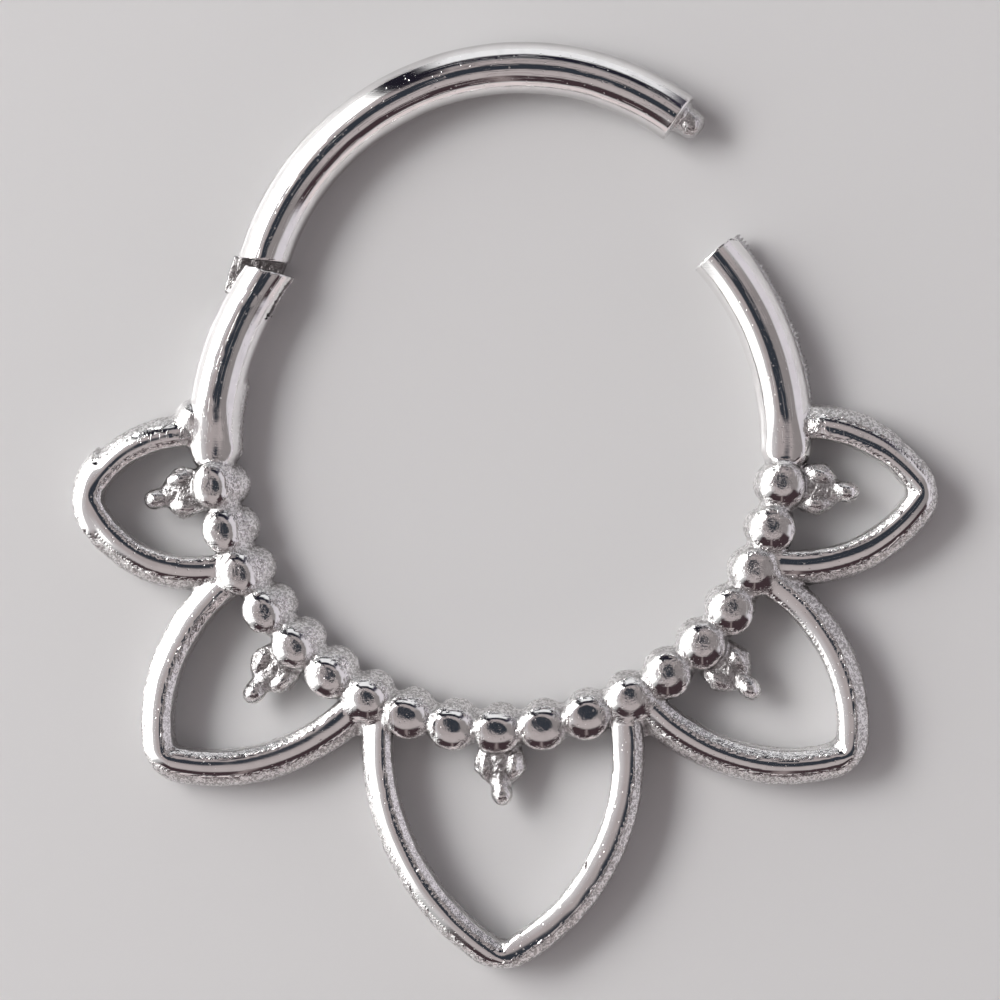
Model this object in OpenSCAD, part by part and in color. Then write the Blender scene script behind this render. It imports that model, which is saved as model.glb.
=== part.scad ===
// Hinged clicker ring with a beaded lower half and five open lotus petals.
// It lies in the XY plane with the petals towards -Y and the hinge at -X.
// The origin is the centre of the ring, in the middle of the wire.
// The arm is drawn slightly open, turned from its closed place about the hinge pin.

/* [Ring] */
// Radius of the ring's centre line
ring_r = 6.6; // [6.5:0.05:6.8]
// Diameter of the wire of the arm and the posts
wire_d = 1.2; // [1.1:0.05:1.25]
// Radius of the arm's own bend
arm_r = 6.2; // [6.1:0.05:6.5]
// Angle of the hinge seam, counted from +X
seam_a = 143.1; // [141:0.1:145]
// Angle of the right post's end face
clasp_a = 41.2; // [40:0.1:42]

/* [Bead row] */
// Angle from the first bead to the last
bead_span = 162.7; // [160:0.1:163]
// Diameter of a front bead
bead_d = 1.07; // [1.06:0.01:1.12]
// Diameter of the lobe behind each bead
lobe_d = 1.04; // [1.03:0.01:1.08]
// How far the lowest lobes lie inside their beads
lobe_in = 0.13; // [0.1:0.01:0.18]
// How far the lobes at the sides of the ring lie inside their beads
lobe_in_side = 0.21; // [0.18:0.01:0.24]
// How far the back half of the casting sits off to the right
cast_shift = 0.04; // [0:0.01:0.08]

/* [Petals] */
// Width of a rail's polished crest
crest_w = 0.48; // [0.42:0.01:0.54]
// Height of a rail above the middle of the wire
rail_top = 0.48; // [0.4:0.01:0.55]
// Depth of a rail below the middle of the wire
rail_foot = 0.52; // [0.45:0.01:0.56]

/* [Trefoils] */
// Diameter of the two side granules
granule_d = 0.5; // [0.44:0.01:0.54]
// Diameter of the granule at the tip
tip_granule_d = 0.56; // [0.5:0.01:0.6]
// Distance of the side granules from the ring's centre line
granule_out = 0.93; // [0.88:0.01:0.98]
// Distance of the tip granule from the ring's centre line
tip_granule_out = 1.5; // [1.45:0.01:1.55]

/* [Hinge] */
// Angle of the hinge pin on the ring's centre line
pivot_a = 150; // [149:0.1:151]
// Diameter of the hinge pin
pin_d = 0.4; // [0.36:0.01:0.44]
// Thickness of the arm's tongue
tongue_t = 0.42; // [0.36:0.01:0.46]
// How far the arm stands open
open_a = 16.7; // [0:0.1:60]

/* [Catch] */
// Diameter of the catch pin on the arm's end
catch_d = 0.66; // [0.6:0.01:0.68]
// Length of the catch pin with its dome
catch_l = 0.58; // [0.5:0.01:0.62]
// Offset of the catch pin from the wire's axis, outwards
catch_off = 0.06; // [0.02:0.01:0.1]

/* [Hidden] */
$fn = 64;
cut = 20;
wire_r = wire_d / 2;
run_gap = 0.03;
face_gap = 0.08;

// A petal's row: angle of the tip, reach of the tip beyond the ring's centre line,
// then root angle, bow and foot width of the first rail, and the same of the second
PETALS = [
    [187.0, 2.99, 176.3, 0.44, 0.78, 206.0, 0.72, 0.72],
    [223.1, 3.98, 205.3, 0.63, 0.72, 243.2, 0.62, 0.82],
    [270.3, 5.12, 244.6, 0.88, 0.70, 296.6, 1.03, 0.66],
    [318.4, 4.06, 297.9, 0.67, 0.82, 334.9, 0.65, 0.72],
    [353.5, 3.16, 334.6, 0.57, 0.76, 365.3, 0.43, 0.78]
];
root_r = ring_r + 0.25;
tip_grow = 0.02;

// Beads, counted from the left post
bead_n = 19;
bead_pitch = bead_span / (bead_n - 1);
bead_first = 270 - bead_span / 2;
bead_z = 0.11;
lobe_z = lobe_d / 2 - wire_r;
core_d = 0.76;
trefoil_beads = [0, 4, 9, 14, 18];
web_beads = [2, 6, 12, 16];

// Trefoils: places of the granules and shape of the plate that carries them
trefoil_turn = 0.3;
side_turn = 3.3;
side_z = 0.06;
tip_z = 0.04;
plate_z = -0.36;
plate_h = 0.5;
plate_foot = 0.2;
plate_foot_w = 0.6;
plate_side_w = 0.88;
plate_tip_w = 0.24;

// Webs that fill the forks between the petals
web_out = 0.52;
web_d = 0.8;
web_z = -0.44;
web_h = 0.62;

// Posts: angles where they meet the bead row, and the swelling of their feet
left_post_a = 181.8;
right_post_a = -1.8;
post_end_d = 1.24;
swell_d = 0.98;
swell_z = -0.1;
left_swell_a = 168;
left_swell_in = 0.2;
right_swell_a = 12;
right_swell_in = 0.14;

// Metal that joins the left post and the first petal
bridge_a = 177;
bridge_out = 0.42;
bridge_d = 1;

// Fin that the casting left along the outside of the right post
fin_a = 7;
fin_out = 0.14;
fin_root = 0.1;
fin_z = -0.3;
fin_t = 0.14;

// Hinge: slot in the post, tongue on the arm, faces cut at a slant
slot_t = tongue_t + 0.05;
slot_depth = 0.72;
rivet_gap = 0.015;
tongue_in = 0.52;
tongue_out = 0.66;
tongue_root = 2.5;
post_face_turn = 21.3;
arm_seam_a = seam_a - 1.2;
arm_face_turn = 14.7;

// Catch: collar and dome of the pin, and its place in the closed ring
collar_d = catch_d + 0.1;
collar_l = 0.09;
dome_r = catch_d / 2 + 0.01;
catch_sink = 0.2;
catch_sweep = 12;
arm_end_a = clasp_a + face_gap / ring_r * 180 / PI;

function polar(r, a) = [r * cos(a), r * sin(a)];
function angle_of(v) = atan2(v.y, v.x);
function left_normal(p, q) = let (d = (q - p) / norm(q - p)) [-d.y, d.x];

// Radius and centre of the arc from p to q that bows to the left by h
function bow_radius(p, q, h) = (pow(norm(q - p), 2) / 4 + h * h) / (2 * h);
function bow_centre(p, q, h) = (p + q) / 2 + left_normal(p, q) * (h - bow_radius(p, q, h));

slot_end_a = pivot_a + slot_depth / ring_r * 180 / PI;
pivot = polar(ring_r, pivot_a);
arm_foot = polar(ring_r, arm_seam_a);
arm_tip = polar(ring_r, arm_end_a);
arm_half = norm(arm_tip - arm_foot) / 2;
arm_bow = arm_r - sqrt(arm_r * arm_r - arm_half * arm_half);
arm_c = bow_centre(arm_foot, arm_tip, arm_bow);
arm_a0 = angle_of(arm_tip - arm_c);
arm_a1 = angle_of(arm_foot - arm_c);
catch_root = arm_tip + catch_off * polar(1, arm_a0);
catch_dir = polar(1, arm_a0 - 90);
dome_c = catch_root + (catch_l - dome_r) * catch_dir;

// Round wire bent to part of a circle
module wire_arc(r, d, a0, a1, z = 0) {
    rotate_extrude(angle = a1 - a0, start = a0)
        translate([r, z])
            circle(d = d);
}

// Everything beyond the line through p that runs at angle a, on its left side
module half_space(p, a) {
    translate([p.x, p.y, 0])
        rotate([0, 0, a])
            translate([-cut, 0, -cut])
                cube([2 * cut, cut, 2 * cut]);
}

module ball(r, a, z, d) {
    rotate([0, 0, a])
        translate([r, 0, z])
            sphere(d = d);
}

// A bead's back lobe, moved with the back half of the casting
module lobe(a) {
    side = abs(cos(a));
    inset = lobe_in + (lobe_in_side - lobe_in) * side;
    translate([cast_shift, 0, 0])
        ball(ring_r - inset, a, lobe_z, lobe_d);
}

// Section of a rail: a steep foot under a rounded crest
module rail_section(foot_w, grow = 0) {
    crest_r = crest_w / 2 + grow;
    foot_r = foot_w / 2 + grow;
    crest_z = rail_top - crest_w / 2;
    translate([0, crest_z])
        circle(r = crest_r);
    polygon([
        [-crest_r, crest_z],
        [-foot_r, -0.6 * rail_foot],
        [-0.8 * foot_r, -rail_foot - grow],
        [0.8 * foot_r, -rail_foot - grow],
        [foot_r, -0.6 * rail_foot],
        [crest_r, crest_z]
    ]);
}

// One rail of a petal, from p to q, bowed to the left
module rail(p, q, bow, foot_w) {
    c = bow_centre(p, q, bow);
    a0 = angle_of(q - c);
    a1 = angle_of(p - c);
    translate([c.x, c.y, 0])
        rotate_extrude(angle = (a1 - a0 + 360) % 360, start = a0)
            translate([bow_radius(p, q, bow), 0])
                rail_section(foot_w);
}

// Rounded point where the two rails of a petal meet
module petal_tip(p, foot_w) {
    translate([p.x, p.y, 0])
        rotate_extrude()
            intersection() {
                rail_section(foot_w, grow = tip_grow);
                translate([0, -cut])
                    square([cut, 2 * cut]);
            }
}

module petal(row) {
    tip = polar(ring_r + row[1], row[0]);
    rail(tip, polar(root_r, row[2]), row[3], row[4]);
    rail(polar(root_r, row[5]), tip, row[6], row[7]);
    petal_tip(tip, max(row[4], row[7]));
}

// Three granules on a small plate, hung from the bead at angle a
module trefoil(a) {
    foot_r = ring_r + plate_foot;
    side_r = ring_r + granule_out;
    tip_r = ring_r + tip_granule_out;
    for (side = [-1, 1])
        ball(side_r, a + side * side_turn, side_z, granule_d);
    ball(tip_r, a + trefoil_turn, tip_z, tip_granule_d);
    rotate([0, 0, a])
        translate([0, 0, plate_z])
            linear_extrude(height = plate_h)
                polygon([
                    [foot_r, -plate_foot_w / 2],
                    [side_r, -plate_side_w / 2],
                    [tip_r, -plate_tip_w / 2],
                    [tip_r, plate_tip_w / 2],
                    [side_r, plate_side_w / 2],
                    [foot_r, plate_foot_w / 2]
                ]);
}

// Front beads, the lobes behind them and the core that joins them
module bead_row() {
    for (i = [0 : bead_n - 1]) {
        ball(ring_r, bead_first + i * bead_pitch, bead_z, bead_d);
        lobe(bead_first + i * bead_pitch);
    }
    wire_arc(ring_r - lobe_in / 2, core_d, left_post_a - 1, 361 + right_post_a);
}

// Metal that fills the fork between two petals
module petal_web(a) {
    rotate([0, 0, a])
        translate([ring_r + web_out, 0, web_z])
            cylinder(d = web_d, h = web_h);
}

// Left post, forked at its top for the arm's tongue
module left_post() {
    difference() {
        wire_arc(ring_r, wire_d, seam_a - 6, left_post_a);
        half_space(polar(ring_r, seam_a), seam_a - 180 + post_face_turn);
        rotate_extrude(angle = slot_end_a - seam_a + 8, start = seam_a - 8)
            translate([ring_r - 1, -slot_t / 2])
                square([2, slot_t]);
        translate([pivot.x, pivot.y, -cut])
            cylinder(d = pin_d + 2 * rivet_gap, h = 2 * cut);
    }
    ball(ring_r, left_post_a - 1, 0, post_end_d);
    wire_arc(ring_r - left_swell_in, swell_d, left_swell_a, left_post_a - 1, swell_z);
    ball(ring_r - left_swell_in, left_swell_a, swell_z, swell_d - 0.03);
    ball(ring_r + bridge_out, bridge_a, 0.02, bridge_d);
}

// Room that the catch pin sweeps as the arm closes
module catch_hole() {
    reach = norm(dome_c - pivot);
    nose = (dome_r + run_gap) / reach * 180 / PI;
    translate([pivot.x, pivot.y, 0])
        rotate_extrude(angle = catch_sweep + nose, start = angle_of(dome_c - pivot) - nose)
            translate([reach, 0])
                circle(r = dome_r + run_gap);
    translate([catch_root.x, catch_root.y, 0])
        rotate([0, 90, angle_of(catch_dir)])
            translate([0, 0, -catch_sink])
                cylinder(d = collar_d + 2 * run_gap, h = catch_sink + catch_l - dome_r);
}

// Right post, with the catch hole in its end and a casting fin along its outside
module right_post() {
    difference() {
        union() {
            wire_arc(ring_r, wire_d, right_post_a, clasp_a);
            rotate_extrude(angle = clasp_a - fin_a, start = fin_a)
                translate([ring_r + wire_r - fin_root, fin_z])
                    square([fin_root + fin_out, fin_t]);
        }
        catch_hole();
    }
    ball(ring_r, right_post_a + 1, 0, post_end_d);
    wire_arc(ring_r - right_swell_in, swell_d, right_post_a + 1, right_swell_a, swell_z);
    ball(ring_r - right_swell_in, right_swell_a, swell_z, swell_d - 0.03);
}

// The cast lower half: posts, beads, petals and trefoils in one piece
module petal_bow() {
    color("silver")
        union() {
            bead_row();
            left_post();
            right_post();
            for (row = PETALS)
                petal(row);
            for (i = trefoil_beads)
                trefoil(bead_first + i * bead_pitch + trefoil_turn);
            for (i = web_beads)
                petal_web(bead_first + i * bead_pitch);
        }
}

// Domed pin on the arm's end
module catch_pin() {
    translate([catch_root.x, catch_root.y, 0])
        rotate([0, 90, angle_of(catch_dir)])
            translate([0, 0, -catch_sink]) {
                cylinder(d = collar_d, h = catch_sink + collar_l);
                cylinder(d = catch_d, h = catch_sink + catch_l - dome_r);
            }
    translate([dome_c.x, dome_c.y, 0])
        sphere(r = dome_r);
}

// Part of the tongue between two angles, reaching inwards and outwards from the centre line
module tongue_sector(a0, a1, inward, outward) {
    rotate_extrude(angle = a1 - a0, start = a0)
        translate([ring_r - inward, -tongue_t / 2])
            square([inward + outward, tongue_t]);
}

// Flat tongue that turns in the fork
module tongue() {
    difference() {
        union() {
            tongue_sector(arm_seam_a - tongue_root, pivot_a, tongue_in, tongue_in);
            tongue_sector(arm_seam_a + 1, pivot_a, 0, tongue_out);
            translate([pivot.x, pivot.y, -tongue_t / 2])
                cylinder(r = tongue_in, h = tongue_t);
        }
        translate([pivot.x, pivot.y, -cut])
            cylinder(d = pin_d + 2 * run_gap, h = 2 * cut);
    }
}

// The arm as it lies in the closed ring
module closed_arm() {
    difference() {
        translate([arm_c.x, arm_c.y, 0])
            wire_arc(arm_r, wire_d, arm_a0, arm_a1 + 6);
        half_space(arm_foot, arm_seam_a + arm_face_turn);
    }
    tongue();
    catch_pin();
}

module swing_arm() {
    color("gainsboro")
        translate([pivot.x, pivot.y, 0])
            rotate([0, 0, open_a])
                translate([-pivot.x, -pivot.y, 0])
                    closed_arm();
}

// Rivet through the fork, dressed flush with the wire
module hinge_pin() {
    color("darkgray")
        intersection() {
            translate([pivot.x, pivot.y, -wire_r])
                cylinder(d = pin_d, h = wire_d);
            wire_arc(ring_r, wire_d - 0.01, pivot_a - 6, pivot_a + 6);
        }
}

petal_bow();
swing_arm();
hinge_pin();
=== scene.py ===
import math
import bpy
import numpy as np
from mathutils import Matrix, Vector


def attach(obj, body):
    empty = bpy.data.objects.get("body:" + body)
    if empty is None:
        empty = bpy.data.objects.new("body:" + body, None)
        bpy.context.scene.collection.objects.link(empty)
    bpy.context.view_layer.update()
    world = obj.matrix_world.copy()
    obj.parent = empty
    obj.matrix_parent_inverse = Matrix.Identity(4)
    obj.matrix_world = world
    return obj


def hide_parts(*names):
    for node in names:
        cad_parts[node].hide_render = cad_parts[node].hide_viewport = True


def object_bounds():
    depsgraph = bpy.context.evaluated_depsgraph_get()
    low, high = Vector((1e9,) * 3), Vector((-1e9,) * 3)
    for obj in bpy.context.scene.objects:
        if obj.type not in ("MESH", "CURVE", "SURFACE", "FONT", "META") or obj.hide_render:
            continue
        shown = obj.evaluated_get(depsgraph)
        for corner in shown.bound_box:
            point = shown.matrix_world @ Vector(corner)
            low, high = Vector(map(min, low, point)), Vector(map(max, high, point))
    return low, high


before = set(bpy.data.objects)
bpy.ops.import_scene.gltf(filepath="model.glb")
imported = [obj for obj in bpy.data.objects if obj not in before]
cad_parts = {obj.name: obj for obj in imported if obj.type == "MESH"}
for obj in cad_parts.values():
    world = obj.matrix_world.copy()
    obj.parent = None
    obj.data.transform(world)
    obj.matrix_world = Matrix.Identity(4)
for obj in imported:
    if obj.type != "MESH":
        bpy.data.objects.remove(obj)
cad_box = [list(c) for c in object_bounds()]
LOWEST = cad_box[0][2]

# Sizes in millimetres and angles in degrees, the same as the construction's.
# Going round the ring: the right post and its clasp, the arm, the seam, the rivet's pivot and the left post.
# OPEN_A is how far the arm stands open.
MM = 0.001
RING_R, WIRE_R, ARM_R = 6.6, 0.6, 6.2
SEAM_A, CLASP_A, PIVOT_A, OPEN_A = 143.1, 41.2, 150.0, 16.7
POST_FACE_TURN, ARM_SEAM_A, ARM_FACE_TURN = 21.3, 141.9, 14.7
RUN_GAP, FACE_GAP = 0.03, 0.08
LEFT_POST_A, RIGHT_POST_A = 181.8, -1.8
SLOT_T, SLOT_DEPTH = 0.47, 0.72
TONGUE_T, TONGUE_IN, TONGUE_OUT, TONGUE_ROOT = 0.42, 0.52, 0.66, 2.5
PIN_R, CATCH_R, CATCH_L, CATCH_OFF = 0.2, 0.33, 0.58, 0.06
COLLAR_R, COLLAR_L, DOME_R = 0.38, 0.09, 0.34
BEAD_N, BEAD_SPAN = 19, 162.7
PITCH = BEAD_SPAN / (BEAD_N - 1)
BEAD_ANGLES = [270 - BEAD_SPAN / 2 + i * PITCH for i in range(BEAD_N)]
TREFOIL_ANGLES = [BEAD_ANGLES[i] + 0.3 for i in (0, 4, 9, 14, 18)]
WEB_ANGLES = [BEAD_ANGLES[i] for i in (2, 6, 12, 16)]
RAIL_TOP, RAIL_FOOT = 0.48, 0.52
TIP_ROUND, TIP_PUSH = 0.25, 0.17
ROOT_R = RING_R + 0.25
# Petals: the tip's angle and reach, then for each rail its root's angle, its bow and the width of its foot,
# and last how much the crest widens at the tip
PETALS = [
    (187.0, 2.99, 176.3, 0.44, 0.78, 206.0, 0.72, 0.72, 0.2),
    (223.1, 3.98, 205.3, 0.63, 0.72, 243.2, 0.62, 0.82, 0.0),
    (270.3, 5.12, 244.6, 0.88, 0.70, 296.6, 1.03, 0.66, 0.0),
    (318.4, 4.06, 297.9, 0.67, 0.82, 334.9, 0.65, 0.72, 0.0),
    (353.5, 3.16, 334.6, 0.57, 0.76, 365.3, 0.43, 0.78, 0.0),
]
# Each rail's dressed crest: its outer and inner edge, how flat it is,
# and where across it is highest at the root, middle and tip
CRESTS = [
    ((0.08, -0.27, 1.9, -0.14, -0.14, -0.14), (0.11, -0.28, 2.5, -0.10, -0.19, -0.15)),
    ((0.29, -0.16, 1.9, -0.12, -0.20, -0.09), (0.17, -0.27, 1.9, -0.16, -0.14, -0.10)),
    ((0.21, -0.17, 1.9, -0.21, -0.10, -0.06), (0.09, -0.36, 2.6, 0.08, 0.06, 0.08)),
    ((0.15, -0.20, 1.9, -0.14, -0.09, -0.08), (0.04, -0.34, 2.6, 0.06, 0.03, 0.06)),
    ((0.15, -0.29, 1.9, -0.14, -0.15, -0.10), (0.09, -0.32, 1.9, -0.16, -0.21, -0.11)),
]
# How the beads' faces were dressed: bead number, curvature radius across X and Y, shift of the highest point,
# and how far from it the face turns down to the ring's inside
FACES = np.array([
    (0, 1.05, 1.30, -0.05, -0.01, 0.14), (2, 1.05, 1.20, -0.05, -0.03, 0.14),
    (4, 0.95, 1.05, 0.00, -0.03, 0.14), (6, 0.90, 0.90, 0.00, 0.02, 0.15),
    (7, 1.75, 1.00, -0.10, 0.05, 0.16), (8, 1.50, 1.25, -0.05, 0.03, 0.15),
    (9, 1.50, 0.90, -0.05, 0.05, 0.15), (10, 1.60, 1.15, -0.05, 0.07, 0.16),
    (11, 1.50, 1.05, 0.00, 0.09, 0.16), (12, 0.90, 0.95, 0.02, 0.08, 0.18),
    (14, 0.82, 0.95, 0.02, 0.09, 0.50), (18, 0.85, 0.95, 0.00, 0.11, 0.50),
])
# A trefoil's lobes: way out from the beads, turn about the ring, height, own turn, radii, blend,
# and whether its top was polished
LOBES = [
    (0.70, 0.0, -0.04, 0, (0.62, 0.52, 0.32), 0.10, False),
    (0.80, -2.6, 0.04, 8, (0.34, 0.20, 0.28), 0.10, True),
    (0.80, 2.6, 0.04, -8, (0.34, 0.20, 0.28), 0.10, True),
    (1.20, 0.3, 0.02, 0, (0.30, 0.19, 0.23), 0.12, False),
    (1.45, 0.3, 0.05, 0, (0.29, 0.25, 0.28), 0.09, True),
]
# Where the saw-toothed flash begins and ends along the right post, and its height
FLASH_A0, FLASH_A1, FLASH_Z = 7, CLASP_A - 0.2, -0.225
# How softly cut edges are rounded
EDGE = 0.03
# The skins stay a little inside the construction's wire
POST_D, ARM_SKIN_R = 2 * WIRE_R - 0.01, WIRE_R - 0.006
# Grid cells of the two skins, and how far out the painted shade of hollows is felt for
BOW_CELL, ARM_CELL, HOLLOW_REACH = (0.058, 0.058, 0.08), (0.045, 0.045, 0.045), 0.14


def polar(r, a):
    return np.array([r * math.cos(math.radians(a)), r * math.sin(math.radians(a))])


def angle_of(v):
    return math.degrees(math.atan2(v[1], v[0]))


def bow_arc(p, q, h):
    """Centre and radius of the arc from p to q that bows to the left by h"""
    d = q - p
    n = np.linalg.norm(d)
    left = np.array([-d[1], d[0]]) / n
    r = (n * n / 4 + h * h) / (2 * h)
    return (p + q) / 2 + left * (h - r), r


PIVOT = polar(RING_R, PIVOT_A)
ARM_FOOT = polar(RING_R, ARM_SEAM_A)
ARM_TIP = polar(RING_R, CLASP_A + math.degrees(FACE_GAP / RING_R))
ARM_HALF = np.linalg.norm(ARM_TIP - ARM_FOOT) / 2
ARM_C, _ = bow_arc(ARM_FOOT, ARM_TIP, ARM_R - math.sqrt(ARM_R ** 2 - ARM_HALF ** 2))
ARM_A0, ARM_A1 = angle_of(ARM_TIP - ARM_C), angle_of(ARM_FOOT - ARM_C)
CATCH_ROOT = ARM_TIP + CATCH_OFF * polar(1, ARM_A0)
CATCH_DIR = polar(1, ARM_A0 - 90)
DOME_C = CATCH_ROOT + (CATCH_L - DOME_R) * CATCH_DIR


# Noise on a lattice, the same in every run: each use has its own seed, the last number of the call
def lattice(ix, iy, iz, seed):
    n = (ix * 73856093) ^ (iy * 19349663) ^ (iz * 83492791) ^ (seed * 26544357)
    n = ((n ^ (n >> 13)) * 1274126177) & 0x7FFFFFFF
    n = ((n ^ (n >> 16)) * 224682251) & 0x7FFFFFFF
    return (n & 0xFFFFFF) / float(0xFFFFFF) * 2.0 - 1.0


def noise(x, y, z, size, seed):
    x, y, z = x / size, y / size, z / size
    fx, fy, fz = np.floor(x), np.floor(y), np.floor(z)
    ix, iy, iz = fx.astype(np.int64), fy.astype(np.int64), fz.astype(np.int64)
    t = [v * v * v * (v * (v * 6 - 15) + 10) for v in (x - fx, y - fy, z - fz)]
    out = 0.0
    for dx in (0, 1):
        for dy in (0, 1):
            for dz in (0, 1):
                w = (t[0] if dx else 1 - t[0]) * (t[1] if dy else 1 - t[1]) * (t[2] if dz else 1 - t[2])
                out = out + w * lattice(ix + dx, iy + dy, iz + dz, seed)
    return out


# Distance fields: each shape is (low corner, high corner, distance, blend, polish).
# Nothing is felt further than PAD from a shape's box, and FAR stands for away from all of them.
PAD, FAR = 0.3, 9.0


def smin(a, b, k):
    h = np.clip(0.5 + 0.5 * (b - a) / k, 0.0, 1.0)
    return b + (a - b) * h - k * h * (1.0 - h), h


def smax(a, b, k):
    h = np.clip(0.5 + 0.5 * (a - b) / k, 0.0, 1.0)
    return b + (a - b) * h + k * h * (1.0 - h)


def ramp(lo, hi, v):
    t = np.clip((v - lo) / (hi - lo), 0.0, 1.0)
    return t * t * (3.0 - 2.0 * t)


def ramp_z(lo, hi, top=1.0, low=0.0):
    """Polish that rises with height"""
    return lambda x, y, z: low + (top - low) * ramp(lo, hi, z)


def even(value):
    """Polish that is the same everywhere"""
    return lambda x, y, z: np.full(x.shape, value)


def boxed(x0, y0, z0, x1, y1, z1, fn, k, polish):
    return (x0 - PAD, y0 - PAD, z0 - PAD), (x1 + PAD, y1 + PAD, z1 + PAD), fn, k, polish


def local(x, y, c, a):
    """Coordinates outward and sideways from c, for something that faces the angle a"""
    e = math.cos(math.radians(a)), math.sin(math.radians(a))
    return (x - c[0]) * e[0] + (y - c[1]) * e[1], (y - c[1]) * e[0] - (x - c[0]) * e[1]


def ellipsoid(c, a, radii, k, polish):
    """Egg with radii outward, sideways and upward, turned to the angle a"""
    big, high = max(radii), radii[2]

    def fn(x, y, z):
        u, w = local(x, y, c, a)
        s = [m / r for m, r in zip((u, w, z - c[2]), radii)]
        k0 = np.sqrt(s[0] ** 2 + s[1] ** 2 + s[2] ** 2)
        k1 = np.sqrt((s[0] / radii[0]) ** 2 + (s[1] / radii[1]) ** 2 + (s[2] / radii[2]) ** 2)
        return k0 * (k0 - 1) / np.maximum(k1, 1e-6)

    return boxed(c[0] - big, c[1] - big, c[2] - high, c[0] + big, c[1] + big, c[2] + high, fn, k, polish)


def bead(i, a, k):
    """A bead with a flatter, hand-dressed face on a rounded shoulder, its polish worn into the necks"""
    c = polar(RING_R, a)
    rim, shoulder, top, low, wide = 0.53, 0.25, 0.63, -0.15, 0.93
    mid, half = (top + low) / 2, (top - low) / 2 - shoulder
    rx, ry, dx, dy, bend = [float(np.interp(i, FACES[:, 0], FACES[:, m])) for m in (1, 2, 3, 4, 5)]
    turn_slope, turn_soft, turn_share, face_soft = 0.8, 0.22, 0.6, 0.07
    bare = np.interp(i, (5, 7, 11, 13), (0.3, 0.12, 0.12, 0.42))

    def from_peak(x, y):
        """Coordinates from the highest point, and how far behind it a point lies"""
        du, dw = local(x, y, (c[0] + dx, c[1] + dy), a)
        return du, dw, np.hypot(np.minimum(du, 0), turn_share * dw)

    def fn(x, y, z):
        u, w = local(x, y, c, a)
        rho = np.hypot(u, w * wide)
        q, v = rho - (rim - shoulder), np.abs(z - mid) - half
        disc = np.hypot(np.maximum(q, 0), np.maximum(v, 0)) + np.minimum(np.maximum(q, v), 0) - shoulder
        px, py = x - c[0] - dx, y - c[1] - dy
        slope = np.sqrt(1 + (px / rx) ** 2 + (py / ry) ** 2)
        du, _, behind = from_peak(x, y)
        turn = np.maximum(behind - bend, 0) * ramp(0.08, -0.1, du)
        turn = turn_slope * (np.sqrt(turn ** 2 + turn_soft ** 2) - turn_soft)
        face = (z - top + px * px / (2 * rx) + py * py / (2 * ry) + turn) / slope
        return smax(disc, face, face_soft)

    def polish(x, y, z):
        u, w = local(x, y, c, a)
        neck = np.hypot(u / 0.50, w / 0.42) + 0.10 * noise(x, y, z, 0.12, 21)
        du, dw, behind = from_peak(x, y)
        back = bend + 0.2 - behind + 0.04 * noise(x, y, z, 0.1, 27)
        worn = bare * ramp(0.36, 0.16, np.hypot(du, dw)) * (0.75 + 0.5 * noise(x, y, z, 0.08, 29))
        bright = 0.95 * ramp(1.12, 0.88, neck) * ramp(0.05, 0.25, z) * ramp(-0.03, 0.02, back)
        return 0.05 + bright * (1 - worn)

    r = rim / wide
    return boxed(c[0] - r, c[1] - r, low, c[0] + r, c[1] + r, top, fn, k, polish)


def along(x, y, cx, cy, r, a0, a1):
    """Distance in plan from an arc, the end's distance past its ends"""
    mid, half = math.radians((a0 + a1) / 2), math.radians((a1 - a0) / 2)
    ang = (np.arctan2(y - cy, x - cx) - mid + math.pi) % (2 * math.pi) - math.pi
    e = np.where(ang > 0, mid + half, mid - half)
    ends = np.hypot(x - cx - r * np.cos(e), y - cy - r * np.sin(e))
    return np.where(np.abs(ang) <= half, np.hypot(x - cx, y - cy) - r, ends)


def arc_span(cx, cy, r, a0, a1):
    """Corners of the box round an arc in plan"""
    t = np.radians(np.linspace(a0, a1, 60))
    x, y = cx + r * np.cos(t), cy + r * np.sin(t)
    return x.min(), y.min(), x.max(), y.max()


def wire(r, d, a0, a1, z0, k, polish, cut=None):
    """Round wire bent about the ring's centre"""
    def fn(x, y, z):
        out = np.hypot(along(x, y, 0, 0, r, a0, a1), z - z0) - d / 2
        return out if cut is None else cut(x, y, z, out)

    x0, y0, x1, y1 = arc_span(0, 0, r, a0, a1)
    return boxed(x0 - d / 2, y0 - d / 2, z0 - d / 2, x1 + d / 2, y1 + d / 2, z0 + d / 2, fn, k, polish)


def rail_section(u, z, foot, outer, inner, flat, apex):
    """Distance from a rail's section: a dressed crest, leaning as it was filed, over cast flanks"""
    r = flat * np.maximum(outer - apex, apex - inner)
    out = np.hypot(u - apex, z - RAIL_TOP + r) - r
    out = np.where(z > RAIL_TOP - r, out, np.abs(u - apex) - r)
    for sign, edge in ((-1, inner), (1, outer)):
        s, top = sign * u, sign * edge
        f = np.maximum(foot / 2 + 0.02 - 0.02 * sign, top + 0.03)
        cz = RAIL_TOP - r + np.sqrt(r ** 2 - (edge - apex) ** 2)
        w = f - top
        # from the crest's edge down: the slope under it, the flank, and the foot's rounding
        pts = [(top, cz), (top + 0.8 * w, cz - (0.51 + 0.08 * sign) * w - 0.03),
               (f, -0.6 * RAIL_FOOT), (0.8 * f, -RAIL_FOOT)]
        for (u0, z0), (u1, z1) in zip(pts[:-1], pts[1:]):
            n = np.hypot(u1 - u0, z1 - z0)
            out = smax(out, ((s - u0) * (z0 - z1) + (z - z0) * (u1 - u0)) / n, EDGE)
    return smax(out, -RAIL_FOOT - z, 0.04)


def beside_post(y):
    """Whether a petal's root stands beside a post, from 0 to 1, or under the beads"""
    return ramp(-0.3, -0.1, y)


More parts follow.
